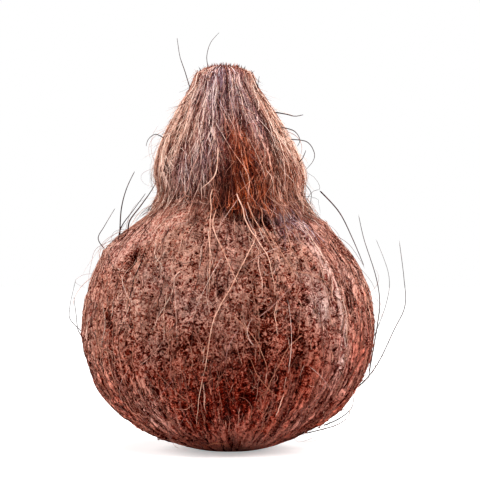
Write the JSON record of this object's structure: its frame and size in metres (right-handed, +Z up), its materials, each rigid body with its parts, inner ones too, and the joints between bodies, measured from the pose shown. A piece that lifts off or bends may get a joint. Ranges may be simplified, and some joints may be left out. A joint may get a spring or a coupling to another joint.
{
  "type": "coconut",
  "caption": "Half-husked ripe coconut: a round nut in its brown coat of coir with a tapering tuft of long fibres on its stalk end, resting upright on a small flat spot.",
  "frame": {"origin": "centre of the small flat spot that the nut rests on, straight below the middle of the nut", "axes": "+Z is up along the nut's own axis towards the tuft, -Y is the side that shows the torn hem of the tuft and its red patch, +X is to the right of that side"},
  "size_m": [0.1204, 0.1181, 0.16],
  "materials": {
    "coir": "dry matted coconut coir: crumbly reddish-brown pith over ribs of fibre, paler greyish-brown fibres in the tuft, fully matt"
  },
  "bodies": {
    "root": {"coconut": "coir"}
  },
  "joints": []
}
